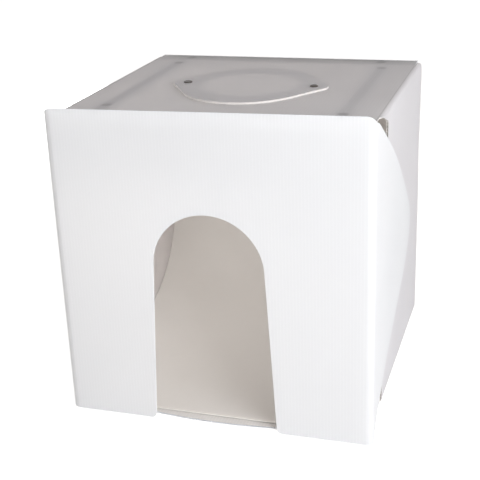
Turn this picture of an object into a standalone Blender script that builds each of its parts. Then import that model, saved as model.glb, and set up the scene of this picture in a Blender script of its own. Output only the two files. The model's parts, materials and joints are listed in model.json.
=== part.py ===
"""Light tent cube: a foldable photo box of translucent fluted sheet.

A floor, back, two sides and a rear strip stand under a lid with side flaps. An arched front cover grips the
flaps by magnets in its two wings. A sweep backdrop hangs inside, two LED bars hold to the ceiling, and a
swivelling flap closes the camera hole in the lid.

Metres, +Z up, the front faces -Y. The origin is the centre of the footprint on the ground.
"""

import math

import bmesh
import bpy
from mathutils import Vector

# The box
WIDTH = 0.380
DEPTH = 0.380
HEIGHT = 0.390
SHEET = 0.002
GAP = 0.0003
OVERRUN = 0.005
MERGE_DISTANCE = 0.00001
STRIP_DEPTH = 0.035

# The lid's rounded edges and the flaps that hang from them
LIP_RADIUS = 0.0045
FLAP_FRONT_SETBACK = 0.100
FLAP_REAR_SETBACK = 0.001
FLAP_FOOT_CLEARANCE = 0.013
FLAP_CHAMFER_LENGTH = 0.0385
FLAP_CHAMFER_DROP = 0.011
FLAP_CORNER_RADIUS = 0.022

# The camera hole and the flap over it
HOLE_RADIUS = 0.065
HOLE_FLAP_THICKNESS = 0.002
HOLE_FLAP_HALF_LENGTH = 0.104
HOLE_FLAP_HALF_WIDTH = 0.099
# A quarter of the flap's edge, from its tip to its widest point: shares of its half length and half width
HOLE_FLAP_EDGE_SHARES = (
    (1.0, 0.0),
    (0.980, 0.058),
    (0.820, 0.335),
    (0.640, 0.640),
    (0.450, 0.845),
    (0.230, 0.965),
    (0.0, 1.0),
)
SNAP_REACH = 0.085
SNAP_SHAFT_RADIUS = 0.0022
SNAP_HOLE_CLEARANCE = 0.0003
SNAP_WASHER_RADIUS = 0.005
SNAP_WASHER_THICKNESS = 0.0012
SNAP_CAP_RADIUS = 0.0055
SNAP_CAP_HEIGHT = 0.002
SNAP_CAP_ROUND = 0.001
SNAP_SOCKET_DEPTH = 0.001

# The front cover
COVER_SHEET = 0.0025
COVER_RISE = 0.0145
COVER_STANDOFF = 0.0035
COVER_SIDE_GAP = 0.0025
COVER_BEND_RADIUS = 0.010
COVER_FOOT_CLEARANCE = 0.0005
ARCH_RADIUS = 0.070
ARCH_SPRING_HEIGHT = 0.212
ARCH_FOOT_HALF_WIDTH = 0.08
ARCH_FOOT_ROUND = 0.006
WING_REACH = 0.264
WING_MITRE = 0.0008
WING_MAGNET_REACH = 0.182
WING_MAGNET_HEIGHT = 0.200
# One wing's free edge from the top of its root to the foot: shares of the reach and of the cover's height
WING_EDGE_SHARES = (
    (0.0, 1.0),
    (0.142, 0.942),
    (0.428, 0.831),
    (0.659, 0.722),
    (0.848, 0.616),
    (0.965, 0.540),
    (1.0, 0.489),
    (0.975, 0.428),
    (0.871, 0.362),
    (0.705, 0.299),
    (0.530, 0.242),
    (0.337, 0.180),
    (0.186, 0.118),
    (0.070, 0.058),
    (0.0, 0.0),
)

# The sweep backdrop
BACKDROP_THICKNESS = 0.001
BACKDROP_SIDE_CLEARANCE = 0.002
BACKDROP_FRONT_SETBACK = 0.012
BACKDROP_RADIUS = 0.200
BACKDROP_TAB_RADIUS = 0.006
BACKDROP_TAB_LENGTH = 0.028
BACKDROP_HOLD_SIDE_SETBACK = 0.049
BACKDROP_HOLD_SETBACK = 0.018

# Magnet and steel discs
DISC_RADIUS = 0.008
PLATE_THICKNESS = 0.0015
MAGNET_THICKNESS = 0.0019

# The LED bars
BAR_SIDE_SETBACK = 0.042
BAR_WIDTH = 0.018
BAR_HEIGHT = 0.010
BAR_WALL = 0.0012
BAR_FRONT_SETBACK = 0.045
BAR_REAR_SETBACK = 0.050
BAR_END_CAP = 0.003
BAR_HOLD_FRONT_SETBACK = 0.068
BAR_HOLD_REAR_SETBACK = 0.056
BOARD_THICKNESS = 0.001
CHIP_COUNT = 24
CHIP_WIDTH = 0.0028
CHIP_LENGTH = 0.0035
CHIP_HEIGHT = 0.0008
SOCKET_RADIUS = 0.0038
SOCKET_BORE_RADIUS = 0.0027
SOCKET_PIN_RADIUS = 0.001
SOCKET_LENGTH = 0.008
SOCKET_FLOOR = 0.0015

# Steps of the round shapes
BEND_STEPS = 6
DISC_STEPS = 24
HOLE_STEPS = 48
ARCH_STEPS = 32
EDGE_STEPS = 3
SWEEP_STEPS = 20
TAB_STEPS = 5
QUARTER = 90.0
HALF_TURN = 180.0
FULL_TURN = 360.0

# Places worked out from the sizes above
LEFT, RIGHT = -1, 1
HALF_WIDTH = WIDTH / 2
FRONT = -DEPTH / 2
BACK = DEPTH / 2
CREASE = BACK - STRIP_DEPTH
CEILING = HEIGHT - SHEET
SIDE_INNER = HALF_WIDTH - SHEET
LIP_CENTRE = HEIGHT - LIP_RADIUS
FLAP_OUTER = HALF_WIDTH + LIP_RADIUS
FLAP_INNER = FLAP_OUTER - SHEET
WING_INNER = FLAP_OUTER + COVER_SIDE_GAP
WING_OUTER = WING_INNER + COVER_SHEET
COVER_INNER = FRONT - COVER_STANDOFF
COVER_FRONT = COVER_INNER - COVER_SHEET
COVER_TOP = HEIGHT + COVER_RISE
BEND_CENTRE_X = WING_OUTER - COVER_BEND_RADIUS
BEND_CENTRE_Y = COVER_FRONT + COVER_BEND_RADIUS
HOLE_FLAP_UNDER = HEIGHT + GAP
HOLE_FLAP_TOP = HOLE_FLAP_UNDER + HOLE_FLAP_THICKNESS
WING_MAGNET_Y = BEND_CENTRE_Y + WING_MAGNET_REACH
BACKDROP_HOLD_REACH = HALF_WIDTH - BACKDROP_HOLD_SIDE_SETBACK
BAR_REACH = HALF_WIDTH - BAR_SIDE_SETBACK

WHITE_SHEET = ("white_sheet", (0.88, 0.88, 0.90), 0.45, 0.0)
COVER_WHITE = ("cover_white", (0.90, 0.90, 0.92), 0.42, 0.0)
BACKDROP_WHITE = ("backdrop_white", (0.80, 0.79, 0.76), 0.60, 0.0)
MAGNET_STEEL = ("magnet_steel", (0.45, 0.45, 0.46), 0.35, 1.0)
PLATE_STEEL = ("plate_steel", (0.55, 0.55, 0.56), 0.40, 1.0)
BAR_ALUMINIUM = ("bar_aluminium", (0.78, 0.78, 0.79), 0.38, 1.0)
BOARD_WHITE = ("board_white", (0.85, 0.86, 0.84), 0.50, 0.0)
DIFFUSER_OPAL = ("diffuser_opal", (0.92, 0.92, 0.90), 0.30, 0.0)
CAP_GREY = ("cap_grey", (0.30, 0.30, 0.31), 0.50, 0.0)
SNAP_GREY = ("snap_grey", (0.28, 0.28, 0.29), 0.40, 0.0)


def material(finish):
    """The Principled material of one finish, made once."""
    name, colour, roughness, metallic = finish
    found = bpy.data.materials.get(name)
    if found:
        return found
    made = bpy.data.materials.new(name)
    made.use_nodes = True
    shader = made.node_tree.nodes["Principled BSDF"]
    shader.inputs["Base Color"].default_value = (*colour, 1.0)
    shader.inputs["Roughness"].default_value = roughness
    shader.inputs["Metallic"].default_value = metallic
    return made


def axis_empty(name, at, parent=None):
    """An empty on a joint's axis or a group's datum, which carries the pieces that move with it."""
    empty = bpy.data.objects.new(name, None)
    bpy.context.collection.objects.link(empty)
    empty["place"] = at
    empty.parent = parent
    empty.location = Vector(at) - Vector(parent["place"] if parent else (0, 0, 0))
    return empty


def piece(name, bm, finish, parent, at=None, smooth=True):
    """A named object from a bmesh in world places; its origin is on its parent's axis or at a given point."""
    origin = Vector(parent["place"] if at is None else at)
    bmesh.ops.translate(bm, verts=bm.verts, vec=-origin)
    bmesh.ops.recalc_face_normals(bm, faces=bm.faces)
    mesh = bpy.data.meshes.new(name)
    bm.to_mesh(mesh)
    bm.free()
    if smooth:
        mesh.shade_smooth()
        mesh.set_sharp_from_angle(angle=math.radians(QUARTER / 3))
    mesh.materials.append(material(finish))
    made = bpy.data.objects.new(name, mesh)
    bpy.context.collection.objects.link(made)
    made.parent = parent
    made.location = origin - Vector(parent["place"])
    return made


def arc(centre, radius, start, end, steps):
    """Points along an arc, both ends included; angles in degrees."""
    turn = [math.radians(start + (end - start) * n / steps) for n in range(steps + 1)]
    return [(centre[0] + radius * math.cos(a), centre[1] + radius * math.sin(a)) for a in turn]


def smooth_line(points, steps):
    """A Catmull-Rom curve through the points, both ends included."""
    padded = [points[0], *points, points[-1]]
    line = []
    for a, b, c, d in zip(padded, padded[1:], padded[2:], padded[3:]):
        for n in range(steps):
            t = n / steps
            line.append(
                tuple(
                    b[k]
                    + t * (c[k] - a[k]) / 2
                    + t**2 * (a[k] - 5 * b[k] / 2 + 2 * c[k] - d[k] / 2)
                    + t**3 * (3 * b[k] - a[k] - 3 * c[k] + d[k]) / 2
                    for k in range(2)
                )
            )
    return [*line, points[-1]]


def slab(bm, outline, axis, start, end):
    """Adds a prism: an outline on the plane square to an axis, extruded from start to end along that axis."""
    others = [k for k in range(3) if k != axis]
    corners = []
    for point in outline:
        place = [0.0, 0.0, 0.0]
        place[axis] = start
        place[others[0]], place[others[1]] = point
        corners.append(bm.verts.new(place))
    face = bm.faces.new(corners)
    grown = bmesh.ops.extrude_face_region(bm, geom=[face])
    moved = [g for g in grown["geom"] if isinstance(g, bmesh.types.BMVert)]
    along = Vector([end - start if k == axis else 0.0 for k in range(3)])
    bmesh.ops.translate(bm, verts=moved, vec=along)


def prism(outline, axis, start, end):
    """A bmesh that holds one prism."""
    bm = bmesh.new()
    slab(bm, outline, axis, start, end)
    return bm


def trim(bm, point, normal):
    """Cuts a bmesh off flat at a plane, on the side that the normal points to, and closes the cut."""
    geom = [*bm.verts, *bm.edges, *bm.faces]
    cut = bmesh.ops.bisect_plane(bm, geom=geom, plane_co=point, plane_no=normal, clear_outer=True)
    rim = [g for g in cut["geom_cut"] if isinstance(g, bmesh.types.BMEdge)]
    bmesh.ops.contextual_create(bm, geom=rim)


def rectangle(low, high):
    """A rectangle's four corners from two of them."""
    return [(low[0], low[1]), (high[0], low[1]), (high[0], high[1]), (low[0], high[1])]


def box(low, high):
    """A bmesh that holds one box between two corners."""
    return prism(rectangle(low, high), 2, low[2], high[2])


def turned(profile, axis, centre, steps=DISC_STEPS):
    """A bmesh turned about a line through a centre; the profile gives a radius and a place along the axis."""
    bm = bmesh.new()
    across = (axis + 1) % 3
    ring = []
    for radius, along in profile:
        place = list(centre)
        place[axis] = along
        place[across] += radius
        ring.append(bm.verts.new(place))
    edges = [bm.edges.new(pair) for pair in zip(ring, ring[1:])]
    direction = [1.0 if k == axis else 0.0 for k in range(3)]
    turn = math.radians(FULL_TURN)
    geom = [*ring, *edges]
    bmesh.ops.spin(bm, geom=geom, cent=centre, axis=direction, angle=turn, steps=steps, use_merge=True)
    bmesh.ops.remove_doubles(bm, verts=bm.verts, dist=MERGE_DISTANCE)
    return bm


def disc_profile(radius, low, high):
    """The profile of a plain disc."""
    return [(0.0, low), (radius, low), (radius, high), (0.0, high)]


def disc(axis, centre, low, high, radius=DISC_RADIUS):
    """A bmesh that holds one plain disc."""
    return turned(disc_profile(radius, low, high), axis, centre)


def combine(target, name, bm, parent, operation="DIFFERENCE"):
    """Cuts a hidden guide shape out of a piece, or adds it to the piece."""
    guide = piece(name, bm, PLATE_STEEL, parent, smooth=False)
    guide.hide_render = True
    guide.display_type = "WIRE"
    modifier = target.modifiers.new(name, "BOOLEAN")
    modifier.operation = operation
    modifier.solver = "EXACT"
    modifier.object = guide


def span(side, near, far):
    """A stretch of X on one side of the middle plane, low end first."""
    return tuple(sorted((side * near, side * far)))


def build_shell(root):
    """The floor, back, sides and rear strip, which stay put."""
    floor = box((-SIDE_INNER + GAP, FRONT, 0), (SIDE_INNER - GAP, BACK - SHEET - GAP, SHEET))
    piece("floor_panel", floor, WHITE_SHEET, root, smooth=False)
    back = box((-HALF_WIDTH, BACK - SHEET, 0), (HALF_WIDTH, BACK, HEIGHT))
    piece("back_panel", back, WHITE_SHEET, root, smooth=False)
    strip = box((-HALF_WIDTH, CREASE + GAP, CEILING), (HALF_WIDTH, BACK - SHEET - GAP, HEIGHT))
    piece("rear_strip", strip, WHITE_SHEET, root, smooth=False)
    for side, word in ((LEFT, "left"), (RIGHT, "right")):
        low, high = span(side, SIDE_INNER, HALF_WIDTH)
        panel = box((low, FRONT, 0), (high, BACK - SHEET - GAP, CEILING - GAP))
        piece(f"{word}_side_panel", panel, WHITE_SHEET, root, smooth=False)
        near = SIDE_INNER - GAP - PLATE_THICKNESS
        centre = (side * near, WING_MAGNET_Y, WING_MAGNET_HEIGHT)
        magnet = disc(0, centre, *span(side, near, SIDE_INNER - GAP))
        piece(f"{word}_side_magnet", magnet, MAGNET_STEEL, root)


def backdrop_outline():
    """The sweep's section: flat on the floor, up the back, and folded forward under the rear strip."""
    under = SHEET + GAP
    behind = BACK - SHEET - GAP
    sweep_centre = (behind - BACKDROP_RADIUS, under + BACKDROP_RADIUS)
    tab_top = CEILING - GAP - PLATE_THICKNESS - GAP
    tab_centre = (behind - BACKDROP_TAB_RADIUS, tab_top - BACKDROP_TAB_RADIUS)
    tab_end = BACK - SHEET - BACKDROP_TAB_LENGTH
    inner_sweep = BACKDROP_RADIUS - BACKDROP_THICKNESS
    inner_tab = BACKDROP_TAB_RADIUS - BACKDROP_THICKNESS
    front = FRONT + BACKDROP_FRONT_SETBACK
    outer = [
        (front, under),
        *arc(sweep_centre, BACKDROP_RADIUS, -QUARTER, 0, SWEEP_STEPS),
        *arc(tab_centre, BACKDROP_TAB_RADIUS, 0, QUARTER, TAB_STEPS),
        (tab_end, tab_top),
    ]
    inner = [
        (tab_end, tab_top - BACKDROP_THICKNESS),
        *arc(tab_centre, inner_tab, QUARTER, 0, TAB_STEPS),
        *arc(sweep_centre, inner_sweep, 0, -QUARTER, SWEEP_STEPS),
        (front, under + BACKDROP_THICKNESS),
    ]
    return [*outer, *inner]


def build_backdrop(root):
    """The sweep backdrop, the steel plates under the rear strip and the magnets that hold its tab to them."""
    edge = SIDE_INNER - BACKDROP_SIDE_CLEARANCE
    piece("backdrop", prism(backdrop_outline(), 0, -edge, edge), BACKDROP_WHITE, root)
    hold = BACK - BACKDROP_HOLD_SETBACK
    plate_top = CEILING - GAP
    plate_under = plate_top - PLATE_THICKNESS
    magnet_top = plate_under - GAP - BACKDROP_THICKNESS - GAP
    for side, word in ((LEFT, "left"), (RIGHT, "right")):
        centre = (side * BACKDROP_HOLD_REACH, hold, plate_top)
        piece(f"{word}_strip_plate", disc(2, centre, plate_under, plate_top), PLATE_STEEL, root, centre)
        magnet = disc(2, centre, magnet_top - MAGNET_THICKNESS, magnet_top)
        piece(f"{word}_backdrop_magnet", magnet, MAGNET_STEEL, root, centre)


def lid_outline():
    """The lid's section across the box, with a rounded lip down each side."""
    inner = LIP_RADIUS - SHEET
    left, right = (-HALF_WIDTH, LIP_CENTRE), (HALF_WIDTH, LIP_CENTRE)
    return [
        *arc(right, LIP_RADIUS, 0, QUARTER, BEND_STEPS),
        *arc(left, LIP_RADIUS, QUARTER, HALF_TURN, BEND_STEPS),
        *arc(left, inner, HALF_TURN, QUARTER, BEND_STEPS),
        *arc(right, inner, QUARTER, 0, BEND_STEPS),
    ]


def flap_outline():
    """An outer flap's outline on its own plane, from its chamfered front to its rounded rear corner."""
    top = LIP_CENTRE - GAP
    front = FRONT + FLAP_FRONT_SETBACK
    rear = BACK - FLAP_REAR_SETBACK
    corner = (rear - FLAP_CORNER_RADIUS, top - FLAP_CORNER_RADIUS)
    return [
        (front, FLAP_FOOT_CLEARANCE),
        (rear, FLAP_FOOT_CLEARANCE),
        *arc(corner, FLAP_CORNER_RADIUS, 0, QUARTER, BEND_STEPS),
        (front - FLAP_CHAMFER_LENGTH, top),
        (front, top - FLAP_CHAMFER_DROP),
    ]


def build_lid(lid):
    """The top panel, its outer flaps and the steel plates on them."""
    top = piece("top_panel", prism(lid_outline(), 1, FRONT, CREASE), WHITE_SHEET, lid)
    low, high = CEILING - OVERRUN, HEIGHT + OVERRUN
    hole = turned(disc_profile(HOLE_RADIUS, low, high), 2, (0, 0, low), HOLE_STEPS)
    combine(top, "camera_hole_cutter", hole, lid)
    snap_hole = SNAP_SHAFT_RADIUS + SNAP_HOLE_CLEARANCE
    for side, word in ((LEFT, "pivot"), (RIGHT, "free")):
        bore = disc(2, (side * SNAP_REACH, 0, low), low, high, snap_hole)
        combine(top, f"{word}_snap_cutter", bore, lid)
    for side, word in ((LEFT, "left"), (RIGHT, "right")):
        low, high = span(side, FLAP_INNER, FLAP_OUTER)
        piece(f"{word}_outer_flap", prism(flap_outline(), 0, low, high), WHITE_SHEET, lid)
        far = FLAP_INNER - GAP
        centre = (side * far, WING_MAGNET_Y, WING_MAGNET_HEIGHT)
        plate = disc(0, centre, *span(side, far - PLATE_THICKNESS, far))
        piece(f"{word}_flap_plate", plate, PLATE_STEEL, lid)
        for end, place in bar_holds().items():
            centre = (side * BAR_REACH, place, CEILING)
            plate = disc(2, centre, CEILING - GAP - PLATE_THICKNESS, CEILING - GAP)
            piece(f"{word}_{end}_bar_plate", plate, PLATE_STEEL, lid, centre)


def stud_profile(top):
    """A snap stud: a washer under the lid and a shaft up to the given height."""
    washer_top = CEILING - GAP
    return [
        (0.0, washer_top - SNAP_WASHER_THICKNESS),
        (SNAP_WASHER_RADIUS, washer_top - SNAP_WASHER_THICKNESS),
        (SNAP_WASHER_RADIUS, washer_top),
        (SNAP_SHAFT_RADIUS, washer_top),
        (SNAP_SHAFT_RADIUS, top),
        (0.0, top),
    ]


def cap_dome():
    """The outside of a snap cap, from its rim on the flap to the middle of its rounded top."""
    under = HOLE_FLAP_TOP + GAP
    top = under + SNAP_CAP_HEIGHT
    corner = (SNAP_CAP_RADIUS - SNAP_CAP_ROUND, top - SNAP_CAP_ROUND)
    return [(SNAP_CAP_RADIUS, under), *arc(corner, SNAP_CAP_ROUND, 0, QUARTER, EDGE_STEPS), (0.0, top)]


def hole_flap_outline():
    """The flap's edge all round: a circle that draws in to an ear at each snap."""
    sizes = (HOLE_FLAP_HALF_LENGTH, HOLE_FLAP_HALF_WIDTH)
    quarter = smooth_line([(u * sizes[0], v * sizes[1]) for u, v in HOLE_FLAP_EDGE_SHARES], EDGE_STEPS)
    half = [*quarter, *[(-x, y) for x, y in reversed(quarter[:-1])]]
    return [*half, *[(x, -y) for x, y in reversed(half[1:-1])]]


def build_hole_flap(lid, swivel):
    """The flap over the camera hole, its two snap caps and the studs in the lid."""
    shape = prism(hole_flap_outline(), 2, HOLE_FLAP_UNDER, HOLE_FLAP_TOP)
    flap = piece("hole_flap", shape, WHITE_SHEET, swivel)
    snap_hole = SNAP_SHAFT_RADIUS + SNAP_HOLE_CLEARANCE
    low, high = HOLE_FLAP_UNDER - OVERRUN, HOLE_FLAP_TOP + OVERRUN
    socket_top = HOLE_FLAP_TOP + GAP + SNAP_SOCKET_DEPTH
    rim = HOLE_FLAP_TOP + GAP
    stud_tops = {"pivot": socket_top - GAP, "free": HEIGHT}
    insides = {
        "pivot": [(0.0, socket_top), (snap_hole, socket_top), (snap_hole, rim)],
        "free": [(0.0, HOLE_FLAP_UNDER), (SNAP_SHAFT_RADIUS, HOLE_FLAP_UNDER), (SNAP_SHAFT_RADIUS, rim)],
    }
    for side, word in ((LEFT, "pivot"), (RIGHT, "free")):
        centre = (side * SNAP_REACH, 0, HEIGHT)
        combine(flap, f"{word}_flap_hole_cutter", disc(2, centre, low, high, snap_hole), swivel)
        stud = turned(stud_profile(stud_tops[word]), 2, centre)
        piece(f"{word}_snap_stud", stud, SNAP_GREY, lid, centre)
        cap = turned([*insides[word], *cap_dome()], 2, centre)
        piece(f"{word}_snap_cap", cap, SNAP_GREY, swivel, centre)


def bar_holds():
    """Where along Y a bar's two magnets sit."""
    return {"front": FRONT + BAR_HOLD_FRONT_SETBACK, "rear": BACK - BAR_HOLD_REAR_SETBACK}


def build_bar(word, side, slide):
    """One LED bar: channel, board with its chips, diffuser, end caps, magnets and power socket."""
    middle = side * BAR_REACH
    front, rear = FRONT + BAR_FRONT_SETBACK, BACK - BAR_REAR_SETBACK
    half = BAR_WIDTH / 2
    magnet_top = CEILING - GAP - PLATE_THICKNESS - GAP
    top = magnet_top - MAGNET_THICKNESS - GAP
    under = top - BAR_HEIGHT
    inner_half = half - BAR_WALL
    inner_top = top - BAR_WALL
    channel = [
        (middle - half, under),
        (middle - half, top),
        (middle + half, top),
        (middle + half, under),
        (middle + inner_half, under),
        (middle + inner_half, inner_top),
        (middle - inner_half, inner_top),
        (middle - inner_half, under),
    ]
    piece(f"{word}_bar_channel", prism(channel, 1, front, rear), BAR_ALUMINIUM, slide, smooth=False)

    fit = inner_half - GAP
    board_top = inner_top - GAP
    board_under = board_top - BOARD_THICKNESS
    board = box((middle - fit, front, board_under), (middle + fit, rear, board_top))
    led_board = piece(f"{word}_bar_led_board", board, BOARD_WHITE, slide, smooth=False)
    pitch = (rear - front) / CHIP_COUNT
    chips = bmesh.new()
    for n in range(CHIP_COUNT):
        centre = front + (n + 1 / 2) * pitch
        corner = (middle - CHIP_WIDTH / 2, centre - CHIP_LENGTH / 2)
        outline = rectangle(corner, (corner[0] + CHIP_WIDTH, corner[1] + CHIP_LENGTH))
        slab(chips, outline, 2, board_under - CHIP_HEIGHT, board_top - BOARD_THICKNESS / 2)
    combine(led_board, f"{word}_bar_chips", chips, slide, "UNION")

    diffuser = box((middle - fit, front, under), (middle + fit, rear, under + BAR_WALL))
    piece(f"{word}_bar_diffuser", diffuser, DIFFUSER_OPAL, slide, smooth=False)

    rear_face = rear + GAP + BAR_END_CAP
    ends = {"front": (front - GAP - BAR_END_CAP, front - GAP), "rear": (rear + GAP, rear_face)}
    for end, (low, high) in ends.items():
        cap = box((middle - half, low, under), (middle + half, high, top))
        piece(f"{word}_bar_{end}_cap", cap, CAP_GREY, slide, smooth=False)

    for end, place in bar_holds().items():
        centre = (middle, place, top)
        magnet = disc(2, centre, magnet_top - MAGNET_THICKNESS, magnet_top)
        piece(f"{word}_{end}_bar_magnet", magnet, MAGNET_STEEL, slide, centre)

    base = rear_face + GAP
    mouth = base + SOCKET_LENGTH
    floor = base + SOCKET_FLOOR
    socket = [
        (0.0, base),
        (SOCKET_RADIUS, base),
        (SOCKET_RADIUS, mouth),
        (SOCKET_BORE_RADIUS, mouth),
        (SOCKET_BORE_RADIUS, floor),
        (SOCKET_PIN_RADIUS, floor),
        (SOCKET_PIN_RADIUS, mouth - SOCKET_FLOOR),
        (0.0, mouth - SOCKET_FLOOR),
    ]
    centre = (middle, base, (top + under) / 2)
    piece(f"{word}_bar_socket", turned(socket, 1, centre), CAP_GREY, slide, centre)


def bend_outline(side):
    """The plan of the quarter bend between the cover's front and one wing."""
    centre = (side * BEND_CENTRE_X, BEND_CENTRE_Y)
    turn = -QUARTER if side == LEFT else QUARTER
    start = -QUARTER
    outer = arc(centre, COVER_BEND_RADIUS, start, start + turn, BEND_STEPS)
    inner = arc(centre, COVER_BEND_RADIUS - COVER_SHEET, start + turn, start, BEND_STEPS)
    return [*outer, *inner]


def front_outline():
    """The cover's flat front with its doorway: a round head on sides that spread to rounded feet."""
    foot = COVER_FOOT_CLEARANCE + ARCH_FOOT_ROUND
    dx, dz = ARCH_FOOT_HALF_WIDTH, foot - ARCH_SPRING_HEIGHT
    turn = math.degrees(math.atan2(dz, dx) + math.acos(ARCH_RADIUS / math.hypot(dx, dz)))
    wide = ARCH_FOOT_HALF_WIDTH + ARCH_FOOT_ROUND
    right_foot = arc((wide, foot), ARCH_FOOT_ROUND, -QUARTER, -HALF_TURN, BEND_STEPS)
    left_foot = [(-x, z) for x, z in reversed(right_foot)]
    head = arc((0, ARCH_SPRING_HEIGHT), ARCH_RADIUS, turn, HALF_TURN - turn, ARCH_STEPS)
    edge = BEND_CENTRE_X - GAP
    left_side = [(-edge, COVER_FOOT_CLEARANCE), (-edge, COVER_TOP)]
    right_side = [(edge, COVER_TOP), (edge, COVER_FOOT_CLEARANCE)]
    return [*right_foot, *head, *left_foot, *left_side, *right_side]


def build_cover(cover):
    """The front panel with its arched doorway, and the bends at its sides."""
    piece("front_panel", prism(front_outline(), 1, COVER_FRONT, COVER_INNER), COVER_WHITE, cover)
    for side, word in ((LEFT, "left"), (RIGHT, "right")):
        bend = prism(bend_outline(side), 2, COVER_FOOT_CLEARANCE, COVER_TOP)
        piece(f"{word}_cover_bend", bend, COVER_WHITE, cover)


def build_wing(word, side, hinge):
    """One wing of the cover, mitred so that it clears the bend as it opens, and the magnet on its inner face."""
    height = COVER_TOP - COVER_FOOT_CLEARANCE
    root = BEND_CENTRE_Y
    edge = [(root + WING_REACH * u, COVER_FOOT_CLEARANCE + height * v) for u, v in WING_EDGE_SHARES]
    wing = prism(smooth_line(edge, EDGE_STEPS), 0, *span(side, WING_INNER, WING_OUTER))
    corner = (side * WING_OUTER, root + GAP, COVER_TOP)
    trim(wing, corner, (-side * WING_MITRE, -COVER_SHEET, 0))
    piece(f"{word}_wing", wing, COVER_WHITE, hinge)
    far = WING_INNER - GAP
    near = FLAP_OUTER + GAP
    centre = (side * far, WING_MAGNET_Y, WING_MAGNET_HEIGHT)
    piece(f"{word}_wing_magnet", disc(0, centre, *span(side, near, far)), MAGNET_STEEL, hinge)


def wing_axis():
    """Where a quarter bend that opens flat turns about: on its middle line, near the middle of the arc."""
    radius = COVER_BEND_RADIUS - COVER_SHEET / 2
    along = radius * math.pi / 4
    x = BEND_CENTRE_X + along
    y = BEND_CENTRE_Y - along
    return x, y


def main():
    for old in list(bpy.data.objects):
        bpy.data.objects.remove(old)

    root = axis_empty("footprint", (0, 0, 0))
    lid = axis_empty("lid_axis", (0, CREASE, HEIGHT), root)
    swivel = axis_empty("hole_flap_axis", (-SNAP_REACH, 0, HEIGHT), lid)
    cover = axis_empty("cover_slide", (0, COVER_FRONT, COVER_FOOT_CLEARANCE), lid)
    build_shell(root)
    build_backdrop(root)
    build_lid(lid)
    build_hole_flap(lid, swivel)
    build_cover(cover)
    hinge_x, hinge_y = wing_axis()
    for side, word in ((LEFT, "left"), (RIGHT, "right")):
        slide = axis_empty(f"{word}_bar_slide", (side * BAR_REACH, 0, CEILING), lid)
        build_bar(word, side, slide)
        hinge = axis_empty(f"{word}_wing_axis", (side * hinge_x, hinge_y, COVER_FOOT_CLEARANCE), cover)
        build_wing(word, side, hinge)


main()
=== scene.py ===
"""The looks of a light tent cube: fluted sheets, backdrop, LED bars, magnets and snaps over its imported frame.

Metres, +Z up, the arched front faces -Y. Every fluted sheet is cut flat with its flutes along Y, scored,
folded, thickened and then stood in its place.
"""

import json
import math

import bmesh
import bpy
from bpy.props import FloatProperty, FloatVectorProperty, IntProperty, PointerProperty
from mathutils import Matrix, Vector


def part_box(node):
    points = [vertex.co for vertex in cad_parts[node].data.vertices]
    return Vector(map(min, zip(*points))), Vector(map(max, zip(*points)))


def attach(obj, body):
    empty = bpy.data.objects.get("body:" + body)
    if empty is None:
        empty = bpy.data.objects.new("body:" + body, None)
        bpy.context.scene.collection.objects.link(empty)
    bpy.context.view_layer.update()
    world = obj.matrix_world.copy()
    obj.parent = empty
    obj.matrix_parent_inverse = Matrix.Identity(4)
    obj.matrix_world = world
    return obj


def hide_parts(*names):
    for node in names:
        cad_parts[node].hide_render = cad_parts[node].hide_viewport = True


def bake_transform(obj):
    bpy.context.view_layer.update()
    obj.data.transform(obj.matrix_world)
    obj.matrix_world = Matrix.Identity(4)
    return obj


bl_info = {
    "name": "Light Tent Cube",
    "version": (1, 0, 0),
    "blender": (4, 5, 0),
    "location": "View3D > Sidebar > Light Tent",
    "description": "Dresses the light tent cube with sheets, bars, magnets and snaps",
    "category": "Object",
}

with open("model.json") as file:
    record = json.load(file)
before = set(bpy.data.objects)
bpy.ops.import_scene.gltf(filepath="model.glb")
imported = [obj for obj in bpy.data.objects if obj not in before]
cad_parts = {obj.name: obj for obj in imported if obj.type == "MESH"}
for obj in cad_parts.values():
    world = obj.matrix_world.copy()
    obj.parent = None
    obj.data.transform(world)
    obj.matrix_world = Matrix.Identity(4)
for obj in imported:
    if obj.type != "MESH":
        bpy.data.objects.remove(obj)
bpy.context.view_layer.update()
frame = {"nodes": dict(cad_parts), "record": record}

FRONT_LOW, FRONT_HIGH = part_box("front_panel")
WING_LOW, WING_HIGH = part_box("right_wing")
LID_LOW, LID_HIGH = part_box("top_panel")
FLAP_LOW, FLAP_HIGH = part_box("right_outer_flap")
BACK_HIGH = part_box("back_panel")[1]
SIDE_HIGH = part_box("right_side_panel")[1]
SWEEP_LOW, SWEEP_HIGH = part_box("backdrop")
HOLE_FLAP_LOW, HOLE_FLAP_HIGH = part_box("hole_flap")

LEFT, RIGHT = -1, 1
SIDES = ((LEFT, "left"), (RIGHT, "right"))
QUARTER = math.pi / 2
TINY = 0.00001
SHEET_MAP = "sheet"
WHITE = (1.0, 1.0, 1.0, 1.0)

# The sheet's ribs: a rib's share of the pitch, and the skin's level between two ribs
RIB_SHARE, RIB_SHADE = 0.24, 0.965

# How dark the painted shade is over plates and bars, and on the rear strip from its front to the back
DISC_SHADE, BAR_SHADE, STRIP_REAR_SHADE = 0.5, 0.11, (0.10, 0.62)

# How far the painted shade of a bar fades past its ends and within them, and to either side of its middle
FADE_OUT, FADE_IN, FADE_SIDES = 0.006, 0.008, (0.003, 0.009)

LED_CHIPS = 24
SMOOTH_ANGLE = math.radians(30.0)
TURN_STEPS, HOLE_STEPS, BORE_STEPS, EDGE_STEPS = 40, 96, 16, 3

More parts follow.
